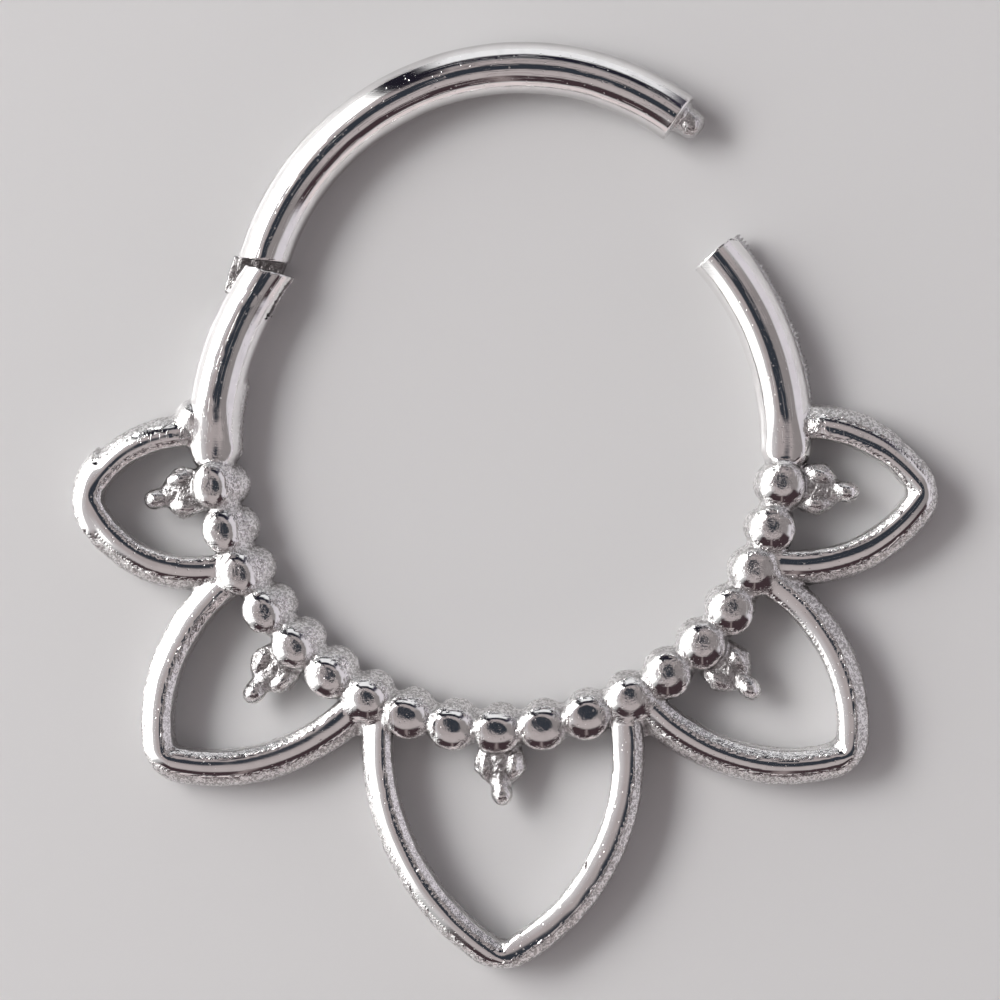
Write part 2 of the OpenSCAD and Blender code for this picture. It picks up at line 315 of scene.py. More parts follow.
def petal(row, crests, k):
    """Both rails of a petal as one outline: a lens of two arcs that meet in a rounded point"""
    tip_a, reach, first_a, first_bow, first_foot, last_a, last_bow, last_foot, spread = row
    rim, near_tip, half_width, push_back = RING_R + reach, 0.9, 0.45, 0.75
    widens_from = (0.79, 0.88)
    tip, start, end = polar(rim, tip_a), polar(ROOT_R, first_a), polar(ROOT_R, last_a)
    axis = tip / np.linalg.norm(tip)
    ca, ra = bow_arc(tip, start, first_bow)
    cb, rb = bow_arc(end, tip, last_bow)
    ca, cb = ca + TIP_PUSH * axis, cb + TIP_PUSH * axis

    def outline(x, y, z):
        """Way across the rail, then its foot and its crest's edges, flatness and highest point there"""
        # the rails lean a little towards +X as they rise
        x = x - 0.045 * np.clip((z + 0.1) / 0.58, -0.5, 1)
        ua = np.hypot(x - ca[0], y - ca[1]) - ra + TIP_ROUND
        ub = np.hypot(x - cb[0], y - cb[1]) - rb + TIP_ROUND
        r = np.hypot(x, y)
        side = TIP_PUSH * np.clip((rim - near_tip - r) / (reach - near_tip), 0, 1)
        ua, ub = ua + side * push_back, ub + side * push_back
        big = np.maximum(ua, ub)
        # the crease between the two arcs is softened inside the lens, and its outside is round at the tip
        inner = np.minimum(smax(ua, ub, 0.01 + 0.22 * ramp(0, -0.25, big)), 0)
        u = np.where(big > 0, np.hypot(np.maximum(ua, 0), np.maximum(ub, 0)), inner) - TIP_ROUND
        first = ramp(-0.25, 0.25, ua - ub)
        t = np.clip((r - ROOT_R) / reach, 0, 1)
        root, wide = (1 - t) ** 2, [spread * ramp(far, far + 0.1, t) for far in widens_from]
        a, b = [(c[0] + 0.03 * root + w, c[1] - 0.03 * root - 0.6 * w, c[2],
                 np.interp(t, (0, 0.45, 0.9), c[3:])) for c, w in zip(crests, wide)]
        return (u,) + tuple(first * m + (1 - first) * n for m, n in zip((first_foot,) + a, (last_foot,) + b))

    def fn(x, y, z):
        u, *section = outline(x, y, z)
        # beside a post the rail sinks into the post's side, elsewhere it ends under the beads
        r = np.hypot(x, y) - RING_R
        post = beside_post(y)
        sunk = z + 0.08 * post * ramp(1.0, 0.45, r)
        return smax(rail_section(u, sunk, *section), 0.05 + 0.35 * post - r, 0.1)

    def polish(x, y, z):
        u, _, outer, inner, *_ = outline(x, y, z)
        edge = np.maximum(u - outer, inner - u) + 0.03 * noise(x, y, z, 0.1, 23)
        worn = 0.5 * ramp(inner + 0.02, inner - 0.04, u) * ramp(-0.15, 0.1, z)
        r = np.hypot(x, y) + 0.1 * noise(x, y, z, 0.1, 37)
        root = beside_post(y) * ramp(RING_R + 0.85, RING_R + 0.7, r)
        return np.maximum(ramp(0.03, -0.02, edge) * ramp(0.15, 0.28, z), worn) * (1 - 0.85 * root)

    spans = []
    for c, r, p, q in ((ca, ra, tip, start), (cb, rb, end, tip)):
        a0, a1 = angle_of(q - c), angle_of(p - c)
        spans.append(arc_span(c[0], c[1], r, a0, a0 + (a1 - a0) % 360))
    x0, y0 = [min(s[m] for s in spans) - half_width for m in (0, 1)]
    x1, y1 = [max(s[m] for s in spans) + half_width for m in (2, 3)]
    return boxed(x0, y0, -RAIL_FOOT, x1, y1, RAIL_TOP, fn, k, polish)


def post_plane(p0, a):
    n = polar(1, a)
    return lambda x, y: (x - p0[0]) * n[0] + (y - p0[1]) * n[1]


def filed(x, y, z, out, foot):
    """A post's crest filed a little flat, and sinking over the last stretch before the beads"""
    crest, curve, sink, soft = 0.576, 1.1, 0.12, 0.2
    r = np.hypot(x, y) - RING_R
    drop = sink * (np.sqrt(np.maximum(foot, 0) ** 2 + soft ** 2) - soft)
    return smax(out, z - crest + r * r / (2 * curve) + drop, 0.025)


def left_post_cut():
    """The fork's slot, the rivet's hole from behind and the seam's face"""
    seam = post_plane(polar(RING_R, SEAM_A), SEAM_A - 180 + POST_FACE_TURN + 90)
    hub, sinking = TONGUE_IN + 0.05, 1.25

    def cut(x, y, z, out):
        s = (np.arctan2(y, x) % (2 * math.pi) - math.radians(PIVOT_A)) * RING_R
        r = np.hypot(x, y) - RING_R
        end = np.sqrt(np.maximum(hub ** 2 - np.minimum(r, 0) ** 2, 0))
        end = end + (SLOT_DEPTH - hub) * ramp(-0.15, 0.1, r)
        slot = np.maximum(np.abs(z) - SLOT_T / 2, s - end)
        hole = np.maximum(np.hypot(x - PIVOT[0], y - PIVOT[1]) - PIN_R - RUN_GAP, z)
        out = filed(x, y, z, out, sinking + s - math.radians(LEFT_POST_A - PIVOT_A) * RING_R)
        out = smax(out, seam(x, y), EDGE)
        return np.maximum(smax(out, -slot, EDGE), -hole)

    return cut


def right_post_cut():
    """The catch's hole, open along the way that the dome swings in, and the clasp's face"""
    face = post_plane(polar(RING_R, CLASP_A), CLASP_A + 90)
    arm = DOME_C - PIVOT
    reach, a0, sinking = np.linalg.norm(arm), angle_of(arm), 0.95
    start = math.radians(a0 - math.degrees((DOME_R + RUN_GAP) / reach))

    def cut(x, y, z, out):
        px, py = x - PIVOT[0], y - PIVOT[1]
        tube = np.hypot(np.hypot(px, py) - reach, z) - DOME_R - RUN_GAP
        tube = np.maximum(tube, (start - np.arctan2(py, px)) * reach)
        s, rho = from_catch(x, y, z)
        bore = np.maximum(rho - COLLAR_R - RUN_GAP, s - CATCH_L + DOME_R)
        out = filed(x, y, z, out, sinking - (np.arctan2(y, x) - math.radians(RIGHT_POST_A)) * RING_R)
        out = smax(out, face(x, y), EDGE)
        return smax(out, -np.minimum(tube, bore), 0.02)

    return cut


def from_catch(x, y, z):
    """Way along the closed catch pin from its root, and distance from its axis"""
    sx, sy = x - CATCH_ROOT[0], y - CATCH_ROOT[1]
    s = sx * CATCH_DIR[0] + sy * CATCH_DIR[1]
    return s, np.hypot(-sx * CATCH_DIR[1] + sy * CATCH_DIR[0], z)


def plate(a, k, polish):
    """The flat web behind a trefoil's granules, its half width given at three ways out from the beads"""
    c, s = math.cos(math.radians(a)), math.sin(math.radians(a))
    near, far, low, top, spread = 0.2, 1.5, -0.36, 0.17, 4
    pts = [(0.2, 0.46), (0.9, 0.63), (1.3, 0.1)]
    segs = list(zip(pts[:-1], pts[1:]))

    def fn(x, y, z):
        r, t = x * c + y * s - RING_R, np.abs(-x * s + y * c)
        t = t + 0.05 * noise(x, y, z, 0.17, 35) + 0.03
        out = np.maximum(near - r, r - far)
        for (r0, t0), (r1, t1) in segs:
            n = math.hypot(r1 - r0, t1 - t0)
            out = smax(out, ((r - r0) * -(t1 - t0) + (t - t0) * (r1 - r0)) / n, 0.12)
        return smax(out, np.maximum(low - z, z - top), 0.07)

    ends = [polar(RING_R + r, a + da) for r in (near, far) for da in (-spread, spread)]
    xs, ys = [e[0] for e in ends], [e[1] for e in ends]
    return boxed(min(xs), min(ys), low, max(xs), max(ys), top, fn, k, polish)


def web(a, k, polish):
    """The disc of metal that joins two petals' roots behind a bead"""
    r, low, top = 0.4, -0.44, 0.18
    cx, cy = polar(RING_R + 0.52, a)

    def fn(x, y, z):
        return smax(np.hypot(x - cx, y - cy) - r, np.maximum(low - z, z - top), 0.1)

    return boxed(cx - r, cy - r, low, cx + r, cy + r, top, fn, k, polish)


def bow_shapes():
    """All of the cast bow, from its core outward"""
    frost, lobe_polish, post_polish = even(0.0), ramp_z(0.25, 0.45, 0.3), ramp_z(-0.4, -0.15)
    neck_polish = ramp_z(0.1, 0.3, 0.8)
    left_end, right_end = LEFT_POST_A - 1, RIGHT_POST_A + 1

    def drop_polish(x, y, z):
        return ramp(0.14, 0.3, z + 0.08 * noise(x, y, z, 0.13, 31)) * 0.7

    core_in, core_d, lobe_r, lobe_z, lobe_right = 0.065, 0.8, 0.52, -0.08, 0.04
    neck_d, neck_z, neck_a0, neck_a1 = 0.92, -0.14, 168, 12
    out = [wire(RING_R - core_in, core_d, left_end, 360 + right_end, 0, 0.04, frost)]
    out += [web(a, 0.12, frost) for a in WEB_ANGLES]
    out += [petal(row, crests, 0.1) for row, crests in zip(PETALS, CRESTS)]
    for a in TREFOIL_ANGLES:
        out.append(plate(a, 0.08, frost))
        for way, round_turn, z, own_turn, radii, k, bright in LOBES:
            x, y = polar(RING_R + way, a + round_turn)
            out.append(ellipsoid((x, y, z), a + own_turn, radii, k, drop_polish if bright else frost))
    # the lobes behind the beads
    for a in BEAD_ANGLES:
        x, y = polar(RING_R - 0.13 - 0.08 * abs(math.cos(math.radians(a))), a)
        out.append(ellipsoid((x + lobe_right, y, lobe_z), a, (lobe_r,) * 3, 0.07, lobe_polish))
    out += [bead(i, a, 0.09) for i, a in enumerate(BEAD_ANGLES)]
    # the necks under the posts' ends, and the drop of metal between the left post and its petal
    out.append(wire(RING_R - 0.2, neck_d, neck_a0, left_end, neck_z, 0.08, neck_polish))
    out.append(wire(RING_R - 0.14, neck_d, right_end, neck_a1, neck_z, 0.08, neck_polish))
    bridge_a, bridge_r = 175.6, 0.47
    x, y = polar(RING_R + bridge_r, bridge_a)
    out.append(ellipsoid((x, y, 0.0), bridge_a, (bridge_r,) * 3, 0.14, ramp_z(0.0, 0.3, 0.7, 0.1)))
    out.append(wire(RING_R, POST_D, SEAM_A - 3, left_end, 0, 0.06, post_polish, left_post_cut()))
    out.append(wire(RING_R, POST_D, right_end, CLASP_A + 3, 0, 0.06, post_polish, right_post_cut()))
    return out


def relief(x, y, z, p):
    """Cast grain where the metal was left frosted, and a faint waviness where it was polished"""
    cast = noise(x, y, z, 0.13, 3) * 0.013 + noise(x, y, z, 0.3, 5) * 0.012
    wavy = noise(x, y, z, 0.5, 7) * 0.003 + noise(x, y, z, 1.3, 9) * 0.007
    left_post = ramp(-4.2, -5.2, x) * ramp(-0.2, 0.3, y) * 0.003 * noise(x, y, z, 0.22, 13)
    return cast * (1 - p) + wavy + left_post


def field(shapes, x, y, z):
    """Blended distance and polish at scattered points"""
    d, p = np.full(x.shape, FAR), np.zeros(x.shape)
    for lo, hi, fn, k, polish in shapes:
        i = np.nonzero((x > lo[0]) & (x < hi[0]) & (y > lo[1]) & (y < hi[1]) & (z > lo[2]) & (z < hi[2]))[0]
        if len(i):
            new, h = smin(d[i], fn(x[i], y[i], z[i]), k)
            d[i], p[i] = new, p[i] * h + polish(x[i], y[i], z[i]) * (1 - h)
    return d + relief(x, y, z, p), p


def grid_field(shapes, lo, n, h):
    """Blended distance, without the relief, on a grid"""
    axes = [lo[i] + h[i] * np.arange(n[i]) for i in range(3)]
    d = np.full(n, FAR, np.float32)
    for slo, shi, fn, k, _ in shapes:
        first = [max(0, int((slo[i] - lo[i]) / h[i])) for i in range(3)]
        last = [min(n[i], int((shi[i] - lo[i]) / h[i]) + 2) for i in range(3)]
        s = tuple(slice(a, b) for a, b in zip(first, last))
        at = np.meshgrid(*[axes[i][s[i]] for i in range(3)], indexing="ij")
        d[s] = smin(d[s], fn(*at), k)[0]
    return d


def surface_net(F, lo, h):
    """Quads over the cells that the zero level crosses"""
    inside = F < 0
    shape = np.array(F.shape) - 1
    total = int(np.prod(shape))
    acc, cnt, quads = np.zeros((total, 3)), np.zeros(total), []
    for axis in range(3):
        a, b = [slice(None)] * 3, [slice(None)] * 3
        a[axis], b[axis] = slice(0, -1), slice(1, None)
        a, b = tuple(a), tuple(b)
        cross = inside[a] != inside[b]
        ijk = np.argwhere(cross)
        f0, f1 = F[a][cross], F[b][cross]
        p = ijk.astype(float)
        p[:, axis] += f0 / (f0 - f1)
        o1, o2 = (axis + 1) % 3, (axis + 2) % 3
        ring = []
        for d1, d2 in ((-1, -1), (0, -1), (0, 0), (-1, 0)):
            c = ijk.copy()
            c[:, o1] += d1
            c[:, o2] += d2
            flat = (c[:, 0] * shape[1] + c[:, 1]) * shape[2] + c[:, 2]
            ring.append(flat)
            cnt += np.bincount(flat, minlength=total)
            for m in range(3):
                acc[:, m] += np.bincount(flat, weights=p[:, m], minlength=total)
        q = np.stack(ring, 1)
        flip = ~inside[a][cross]
        q[flip] = q[flip][:, ::-1]
        quads.append(q)
    quads = np.concatenate(quads)
    used, quads = np.unique(quads, return_inverse=True)
    quads = quads.reshape(-1, 4)
    return acc[used] / cnt[used, None] * h + np.array(lo), quads


def gradient(shapes, v):
    """Unit normals of the field"""
    g, step = np.empty_like(v), 0.008
    for m in range(3):
        o = np.zeros(3)
        o[m] = step
        g[:, m] = field(shapes, *(v + o).T)[0] - field(shapes, *(v - o).T)[0]
    return g / np.maximum(np.linalg.norm(g, axis=1), 1e-9)[:, None]


def skin(shapes, cell):
    """Net over the shapes, evened out and drawn onto them: points, quads, normals and polish"""
    evened, drawn, floor_gap = 2, 2, 0.0005
    h = np.array(cell)
    lo = np.min([s[0] for s in shapes], axis=0) + PAD - 2 * h
    hi = np.max([s[1] for s in shapes], axis=0) - PAD + 2 * h
    n = tuple(int(math.ceil(m)) + 1 for m in (hi - lo) / h)
    v, quads = surface_net(grid_field(shapes, lo, n, h), lo, h)
    e = np.concatenate([quads[:, [0, 1]], quads[:, [1, 2]], quads[:, [2, 3]], quads[:, [3, 0]]])

    def gathered(values):
        """Sum over each point's neighbours"""
        there, back = [values[e[:, i]] for i in (1, 0)]
        return np.bincount(e[:, 0], there, len(v)) + np.bincount(e[:, 1], back, len(v))

    deg = gathered(np.ones(len(v)))
    for _ in range(evened):
        v = v - gradient(shapes, v) * np.clip(field(shapes, *v.T)[0], -h[0], h[0])[:, None]
        mean = np.stack([gathered(v[:, m]) for m in range(3)], 1) / deg[:, None]
        v = v + 0.5 * (mean - v)
    for _ in range(drawn):
        d, p = field(shapes, *v.T)
        v = v - gradient(shapes, v) * np.clip(d, -h[0], h[0])[:, None]
    v[:, 2] = np.maximum(v[:, 2], LOWEST / MM + floor_gap)
    return v, quads, gradient(shapes, v), p


def mesh_object(name, v, quads, normals=None, attrs=()):
    me = bpy.data.meshes.new(name)
    me.vertices.add(len(v))
    me.vertices.foreach_set("co", (v * MM).astype(np.float32).ravel())
    me.loops.add(quads.size)
    me.loops.foreach_set("vertex_index", quads.astype(np.int32).ravel())
    me.polygons.add(len(quads))
    me.polygons.foreach_set("loop_start", np.arange(0, quads.size, quads.shape[1], dtype=np.int32))
    me.polygons.foreach_set("loop_total", np.full(len(quads), quads.shape[1], np.int32))
    me.update(calc_edges=True)
    me.validate()
    for key, values in attrs:
        me.attributes.new(key, "FLOAT", "POINT").data.foreach_set("value", values.astype(np.float32))
    me.polygons.foreach_set("use_smooth", np.ones(len(me.polygons), bool))
    if normals is not None:
        me.normals_split_custom_set_from_vertices(normals.astype(np.float32))
    ob = bpy.data.objects.new(name, me)
    bpy.context.scene.collection.objects.link(ob)
    return ob


def arm_shapes():
    """The arm's wire, its tongue and its catch pin, in the closed place"""
    seam = post_plane(ARM_FOOT, ARM_SEAM_A + ARM_FACE_TURN + 90)
    end = post_plane(ARM_TIP, ARM_A0 - 90)
    cx, cy = ARM_C
    a0, a1, per_degree, sunk = ARM_A0 - 3, ARM_A1 + 6, math.radians(RING_R), 0.2

    def body(x, y, z):
        out = np.hypot(along(x, y, cx, cy, ARM_R, a0, a1), z) - ARM_SKIN_R
        return smax(smax(out, seam(x, y), EDGE), end(x, y), 1.5 * EDGE)

    def tongue(x, y, z):
        theta, r = np.degrees(np.arctan2(y, x)) % 360, np.hypot(x, y) - RING_R
        span = np.maximum(ARM_SEAM_A - TONGUE_ROOT - theta, theta - PIVOT_A) * per_degree
        out = np.maximum(span, np.abs(r) - TONGUE_IN)
        lug = np.maximum(span, (ARM_SEAM_A + 1 - theta) * per_degree)
        lug = np.maximum(lug, np.maximum(-r, r - TONGUE_OUT))
        hub = np.hypot(x - PIVOT[0], y - PIVOT[1])
        out = np.minimum(np.minimum(out, lug), hub - TONGUE_IN)
        out = smax(out, np.abs(z) - TONGUE_T / 2, EDGE)
        return np.maximum(out, PIN_R + RUN_GAP - hub)

    def catch(x, y, z):
        nose = 0.24
        s, rho = from_catch(x, y, z)
        collar = smax(rho - COLLAR_R, np.maximum(-sunk - s, s - COLLAR_L), EDGE)
        shaft = np.maximum(rho - CATCH_R, np.maximum(-sunk - s, s - CATCH_L + DOME_R))
        dome = np.hypot(np.maximum(rho - CATCH_R + nose, 0), np.maximum(s - CATCH_L + nose + 0.02, 0)) - nose
        lumps = 0.012 * noise(x, y, z, 0.15, 11)
        return smin(smin(shaft, dome, 0.02)[0] + lumps, collar, EDGE)[0]

    x0, y0, x1, y1 = arc_span(cx, cy, ARM_R, a0, a1)
    tx, ty = DOME_C
    side, high = 0.8, 0.4
    hinge_box = (-6.6, 2.6, -TONGUE_T / 2, -4.8, 4.7, TONGUE_T / 2)
    return [
        boxed(x0 - WIRE_R, y0 - WIRE_R, -WIRE_R, x1 + WIRE_R, y1 + WIRE_R, WIRE_R, body, 0.01, even(1.0)),
        boxed(*hinge_box, tongue, 0.01, even(0.1)),
        boxed(tx - side, ty - side, -high, tx + side, ty + side, high, catch, 0.01, even(0.4)),
    ]


def flash():
    """Saw-toothed flash that the casting left along the outside of the right post"""
    rows, steps, sunk = [], 160, -0.12
    for i in range(steps + 1):
        t = i / steps
        a = FLASH_A0 + (FLASH_A1 - FLASH_A0) * t
        tooth = 0.5 + 0.5 * math.sin(i * 1.55 + 0.8 * math.sin(i * 0.37))
        fade = min(1, 6 * t + 0.2) * (0.75 + 0.25 * math.sin(i * 0.21 + 1))
        out = (0.03 + 0.1 * tooth) * fade
        section = [(sunk, -0.16), (out * 0.6, -0.185), (out, FLASH_Z), (out * 0.6, -0.27), (sunk, -0.3)]
        for r, z in section:
            rows.append((*polar(RING_R + WIRE_R + r, a), z))
    n = len(section)
    q = np.array([(i * n + j, (i + 1) * n + j, (i + 1) * n + (j + 1) % n, i * n + (j + 1) % n)
                  for i in range(steps) for j in range(n)])
    return np.array(rows), q[:, ::-1]


def lin(*rgb):
    """Linear colour from a display one in steps of 255"""
    return tuple(v / 255 / 12.92 if v <= 10.31 else ((v / 255 + 0.055) / 1.055) ** 2.4 for v in rgb)


class Tree:
    """Short ways to add shader nodes"""

    def __init__(self, material):
        material.use_nodes = True
        self.t = material.node_tree
        self.t.nodes.clear()

    def fill(self, socket, v):
        if isinstance(v, bpy.types.NodeSocket):
            self.t.links.new(v, socket)
        else:
            socket.default_value = v

    def add(self, kind, out=0, ins=(), **props):
        n = self.t.nodes.new("ShaderNode" + kind)
        for k, v in props.items():
            setattr(n, k, v)
        for key, v in dict(ins).items():
            self.fill(n.inputs[key], v)
        return n.outputs[out]

    def math(self, op, a, b=0.0, c=0.0):
        return self.add("Math", 0, {0: a, 1: b, 2: c}, operation=op)

    def step(self, v, lo, hi, a=0.0, b=1.0):
        ins = {"Value": v, "From Min": lo, "From Max": hi, "To Min": a, "To Max": b}
        return self.add("MapRange", 0, ins, interpolation_type="SMOOTHSTEP")

    def mix(self, f, a, b):
        return self.add("Mix", 2, {0: f, 6: a, 7: b}, data_type="RGBA")

    def finish(self, shader):
        self.t.links.new(shader, self.t.nodes.new("ShaderNodeOutputMaterial").inputs[0])


def studio_light(x, y, z):
    """Colour of the studio's soft panels and dark gaps in a direction"""
    theta = np.degrees(np.arccos(np.clip(z, -1, 1)))
    az = np.degrees(np.arctan2(y, x))

    def sector(mid, half, soft):
        turn = np.abs((az - mid + 180) % 360 - 180)
        return ramp(half + soft, half - soft, turn)

    def ring(lo, hi, soft0, soft1=None):
        soft1 = soft0 if soft1 is None else soft1
        return ramp(lo - soft0, lo + soft0, theta) * ramp(hi + soft1, hi - soft1, theta)

    # the camera's own dark shape overhead, a little longer towards the back left
    long, wide = [theta * np.cos(np.radians(az - m)) for m in (125, 35)]
    spot = ramp(1.15, 0.85, np.hypot((long - 1.5) / 14.5, wide / 11))
    col = np.full(x.shape + (3,), 0.5)
    zones = [
        # the inner ceiling, then the sides round the ring
        (lin(170, 161, 161), ring(-50, 38, 4)),
        (lin(180, 171, 171), sector(277, 50, 6) * ring(18, 38, 5, 4)),
        (lin(200, 196, 198), sector(180, 45, 12) * ring(26, 45, 7, 4)),
        (lin(140, 134, 134), sector(0, 42, 8) * ring(-50, 48, 5)),
        (lin(215, 210, 216), sector(8, 44, 5) * ring(50, 200, 6)),
        (lin(238, 238, 240), sector(88, 26, 4) * ring(60, 200, 3)),
        (lin(34, 33, 44), sector(88, 36, 7) * ring(38, 58, 5, 3)),
        (lin(64, 51, 55), sector(277, 52, 5) * ring(38, 66, 3, 4)),
        (lin(140, 128, 128), sector(267, 2.5, 2) * ring(38, 66, 3, 4)),
        (lin(222, 210, 210), sector(277, 52, 6) * ring(69, 200, 4)),
        (lin(60, 56, 70), sector(57, 6, 4) * ring(45, 120, 5)),
        # the key light at the left, with its bright core
        ((1.45, 1.44, 1.43), sector(170, 45, 3) * ring(36, 200, 2)),
        ((10.6, 10.55, 10.5), sector(159, 25, 6) * ring(38, 60, 2, 4)),
        (lin(30, 28, 38), sector(119, 6, 3) * ring(24, 120, 6)),
        (lin(50, 54, 62), spot),
    ]
    for c, w in zones:
        col = col + (np.array(c) - col) * w[..., None]
    return col


def light_dome():
    """Soft light from all round: a dome whose colour varies with direction"""
    radius, na, nt, top, rim = 0.6, 180, 72, 0.5, 100
    down, round_about = np.radians(np.linspace(top, rim, nt)), np.radians(np.arange(na) * 360 / na)
    t, a = np.meshgrid(down, round_about, indexing="ij")
    way = np.stack([np.sin(t) * np.cos(a), np.sin(t) * np.sin(a), np.cos(t)], -1).reshape(-1, 3)
    q = np.array([(i * na + j, i * na + (j + 1) % na, (i + 1) * na + (j + 1) % na, (i + 1) * na + j)
                  for i in range(nt - 1) for j in range(na)])
    ob = mesh_object("light_dome", way * radius / MM, q[:, ::-1])
    col = np.ones((len(way), 4), np.float32)
    col[:, :3] = studio_light(*way.T)
    ob.data.attributes.new("light", "FLOAT_COLOR", "POINT").data.foreach_set("color", col.ravel())
    m = bpy.data.materials.new("light_dome")
    tree = Tree(m)
    light = tree.add("Attribute", "Color", attribute_name="light")
    tree.finish(tree.add("Emission", 0, {"Color": light, "Strength": 1.0}))
    m.cycles.emission_sampling = "NONE"
    ob.data.materials.append(m)
    ob.visible_camera = False
    ob.visible_shadow = False
    world = bpy.data.worlds.new("studio")
    bpy.context.scene.world = world
    world.use_nodes = True
    world.node_tree.nodes["Background"].inputs["Color"].default_value = (0.58, 0.57, 0.57, 1)


# Sizes of the silver's marks in millimetres, and the colours of frost, of soot in it and of the shade painted
# into hollows, the seam and the wire's sides
FINE_SAND, COARSE_SAND, BLOTCH, PIT_CELL, STREAK, HAIR = 0.035, 0.075, 0.35, 0.14, 0.5, 0.03
FROST_TINT, SOOT_TINT, PAINTED_SHADE_TINT = (0.90, 0.885, 0.885, 1), (0.40, 0.385, 0.38, 1), (0.14, 0.13, 0.13, 1)


def silver(name, tint, base_rough, grain=False, hub=(0.0, 0.0)):
    """Silver with pits, streaks and drawing lines round the hub, frosted where the mesh says so, and painted
    darker as shade where the mesh's shade attribute says so
    """
    m = bpy.data.materials.new(name)
    t = Tree(m)
    place = t.add("TexCoord", "Object")

    def grains(size, detail=2.0, rough=0.5, vec=place):
        ins = {"Vector": vec, "Scale": 1 / (size * MM), "Detail": detail, "Roughness": rough}
        return t.add("TexNoise", 0, ins)

    polish = t.add("Attribute", "Fac", attribute_name="polish") if grain else 1.0
    painted_shade = t.add("Attribute", "Fac", attribute_name="painted_shade") if grain else 0.0
    frost = t.math("SUBTRACT", 1.0, polish)
    fine, coarse, broad = grains(FINE_SAND, 1.0, 0.6), grains(COARSE_SAND, 1.0), grains(BLOTCH)
    pits = t.add("TexVoronoi", "Distance", {"Vector": place, "Scale": 1 / (PIT_CELL * MM), "Randomness": 1.0})
    pit = t.step(pits, 0.08, 0.17, 1.0, 0.0)
    stretch = t.add("Mapping", 0, {"Vector": place, "Rotation": (0, 0, 0.6), "Scale": (1, 22, 1)})
    streak = grains(STREAK, 2.0, 0.6, stretch)
    # hair lines that drawing and filing left along the wire, round its bend's centre
    px, py, pz = t.add("SeparateXYZ", 0, {0: place}).node.outputs
    x, y = [t.math("SUBTRACT", p, h * MM) for p, h in ((px, hub[0]), (py, hub[1]))]
    reach = t.math("SQRT", t.math("ADD", t.math("MULTIPLY", x, x), t.math("MULTIPLY", y, y)))
    bent = t.add("CombineXYZ", 0, {0: t.math("DIVIDE", reach, HAIR * MM),
                                   1: t.math("MULTIPLY", t.math("ARCTAN2", y, x), 5.0),
                                   2: t.math("DIVIDE", pz, HAIR * MM)})
    hair = t.step(t.add("TexNoise", 0, {"Vector": bent, "Scale": 1.0, "Detail": 1.0}), 0.6, 0.68)
    hair = t.math("MULTIPLY", hair, t.step(py, -0.3 * MM, 0.2 * MM))
    rough = t.math("MULTIPLY_ADD", streak, 0.04, base_rough)
    rough = t.math("MULTIPLY_ADD", t.step(broad, 0.45, 0.75), 0.03, rough)
    rough = t.math("MULTIPLY_ADD", frost, 0.22, rough)
    height = t.math("MULTIPLY_ADD", streak, 0.0006, t.math("MULTIPLY", pit, -0.002))
    sand = t.math("MULTIPLY_ADD", fine, 0.014, t.math("MULTIPLY", coarse, 0.02))
    height = t.math("ADD", height, t.math("MULTIPLY", sand, frost))
    height = t.math("MULTIPLY_ADD", hair, -0.0008, height)
    bump = t.add("Bump", 0, {"Height": t.math("MULTIPLY", height, MM), "Strength": 1.0, "Distance": 1.0})
    dark = t.mix(t.step(broad, 0.35, 0.7), tint, tuple(c * 0.95 for c in tint[:3]) + (1,))
    speck = t.step(t.math("MULTIPLY_ADD", coarse, 0.5, t.math("MULTIPLY", fine, 0.5)), 0.56, 0.44)
    sooty = t.mix(speck, FROST_TINT, SOOT_TINT)
    dull = t.mix(t.math("MULTIPLY", frost, 0.9), dark, sooty)
    # painted shade: the colour goes towards a dark tint where the mesh's shade attribute is high
    shade = t.mix(t.math("MULTIPLY", painted_shade, 0.8), dull, PAINTED_SHADE_TINT)
    ins = {"Base Color": shade, "Roughness": rough, "Normal": bump, "Metallic": 1.0}
    t.finish(t.add("BsdfPrincipled", 0, ins))
    return m


def floor_material():
    m = bpy.data.materials.new("pale_floor")
    t = Tree(m)
    soft = t.add("TexNoise", 0, {"Vector": t.add("TexCoord", "Object"), "Scale": 90.0, "Detail": 2.0})
    pale = t.mix(soft, (0.625, 0.62, 0.622, 1), (0.635, 0.63, 0.632, 1))
    t.finish(t.add("BsdfPrincipled", 0, {"Base Color": pale, "Roughness": 0.3, "IOR": 1.8}))
    return m


def camera():
    """The photo's viewing angle: from above, leaning a little to the right, with a long lens"""
    lean, lens, sensor, width = math.radians(5.5), 200.0, 36.0, 22.957
    cam = bpy.data.objects.new("camera", bpy.data.cameras.new("camera"))
    bpy.context.scene.collection.objects.link(cam)
    cam.data.lens, cam.data.sensor_width = lens, sensor
    cam.data.clip_start, cam.data.clip_end = 0.005, 5.0
    target = Vector((0.03, -1.318, 0)) * MM
    way = Vector((math.sin(lean), 0, math.cos(lean)))
    right = Vector((math.cos(lean), 0, -math.sin(lean)))
    m = Matrix((right, Vector((0, 1, 0)), way)).transposed().to_4x4()
    m.translation = target + way * (width * lens / sensor) * MM
    cam.matrix_world = m
    bpy.context.scene.camera = cam


camera()
bpy.context.scene.view_settings.view_transform = "Standard"
light_dome()

FLOOR_SIDE = 1.1
bpy.ops.mesh.primitive_plane_add(size=FLOOR_SIDE, location=(0, 0, LOWEST))
floor = bpy.context.object
floor.name = "floor"
floor.data.materials.append(floor_material())

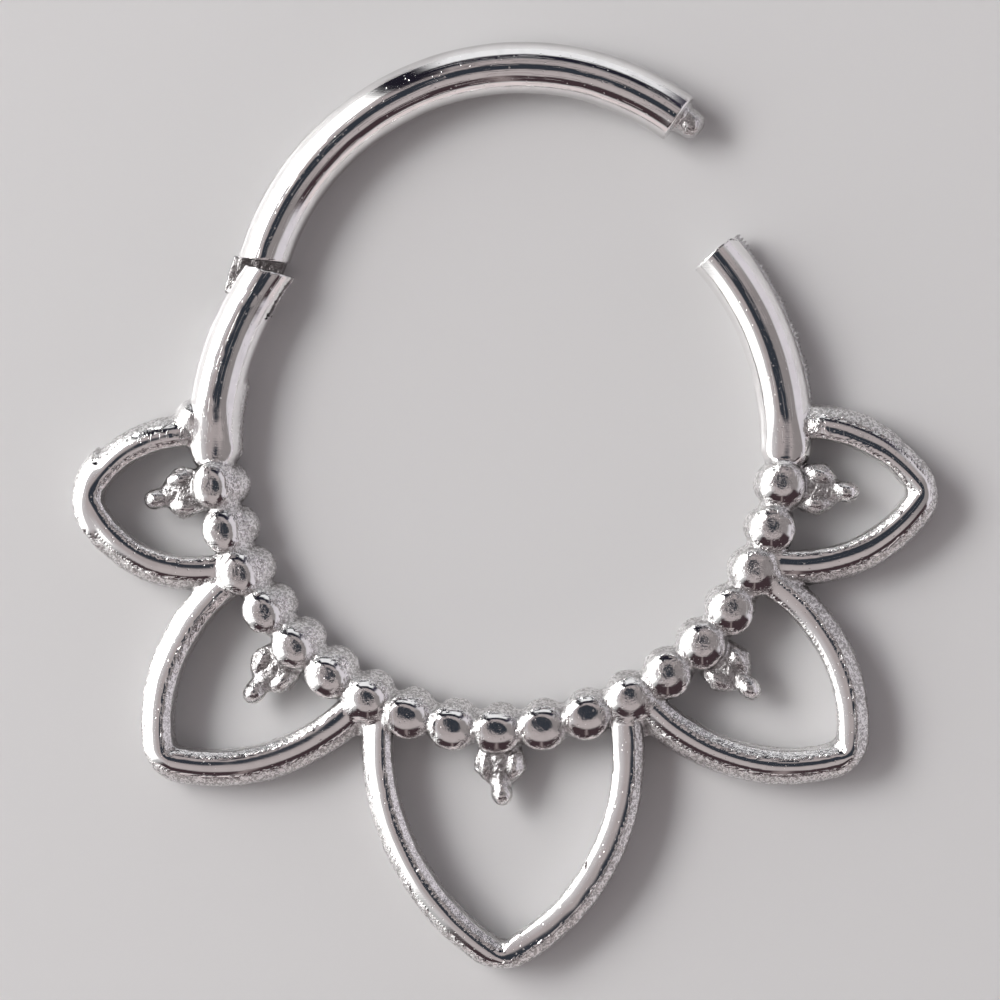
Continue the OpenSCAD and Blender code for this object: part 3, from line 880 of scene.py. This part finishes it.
turn = math.radians(OPEN_A)
rot = np.array([[math.cos(turn), -math.sin(turn), 0], [math.sin(turn), math.cos(turn), 0], [0, 0, 1]])
arm_hub = tuple(rot[:2, :2] @ (ARM_C - PIVOT) + PIVOT)
cast = silver("cast_silver", (0.93, 0.92, 0.915, 1), 0.05, grain=True)
wired = silver("wire_silver", (0.945, 0.935, 0.93, 1), 0.035, grain=True, hub=arm_hub)
pin = silver("pin_silver", (0.94, 0.93, 0.925, 1), 0.04)

shapes = bow_shapes()
v, q, nrm, p = skin(shapes, BOW_CELL)
# painted shade: points in hollows, where the field stays close just outside the surface, are darkened
painted_hollow_shade = np.clip(1 - field(shapes, *(v + nrm * HOLLOW_REACH).T)[0] / HOLLOW_REACH, 0, 1)
# the middle of each trefoil, sunk between its lobes, is also painted darker as shade
for a in TREFOIL_ANGLES:
    u, w = local(v[:, 0], v[:, 1], polar(RING_R + 0.8, a), a)
    painted_hollow_shade = np.maximum(painted_hollow_shade, 0.6 * ramp(1.1, 0.6, np.hypot(u / 0.4, w / 0.3) + 0.25 * noise(*v.T, 0.12, 33)))
flash_v, flash_q = flash()
flash_n = flash_v - np.array([[0, 0, FLASH_Z]])
flash_n /= np.linalg.norm(flash_n, axis=1)[:, None]
none = np.zeros(len(flash_v))
bow = mesh_object("bow_skin", np.concatenate([v, flash_v]), np.concatenate([q, flash_q + len(v)]),
                  np.concatenate([nrm, flash_n]),
                  [("polish", np.concatenate([p, none + 0.5])), ("painted_shade", np.concatenate([painted_hollow_shade, none]))])
bow.data.materials.append(cast)
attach(bow, "bow")
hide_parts("petal_bow")

v, q, nrm, p = skin(arm_shapes(), ARM_CELL)
hinge = np.array([PIVOT[0], PIVOT[1], 0])
# painted shade: the wire's sides and underside are painted darker, standing in for the shadowed floor that
# they reflect
flank = 0.5 * ramp(0.4, 0.18, v[:, 2] + 0.02 * noise(*v.T, 0.5, 41))
# painted shade: the tongue down in the seam is painted dark, the lug that shows outside the ring less so
painted_seam_shade = 1.2 * ramp(0.3, 0.15, p) * (1 - 0.65 * ramp(0.4, 0.5, np.hypot(v[:, 0], v[:, 1]) - RING_R))
arm = mesh_object("arm_skin", (v - hinge) @ rot.T + hinge, q, nrm @ rot.T,
                  [("polish", p), ("painted_shade", np.maximum(painted_seam_shade, flank))])
arm.data.materials.append(wired)
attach(arm, "arm")
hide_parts("swing_arm")

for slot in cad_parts["hinge_pin"].material_slots:
    slot.material = pin
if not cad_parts["hinge_pin"].material_slots:
    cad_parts["hinge_pin"].data.materials.append(pin)

bpy.context.view_layer.update()
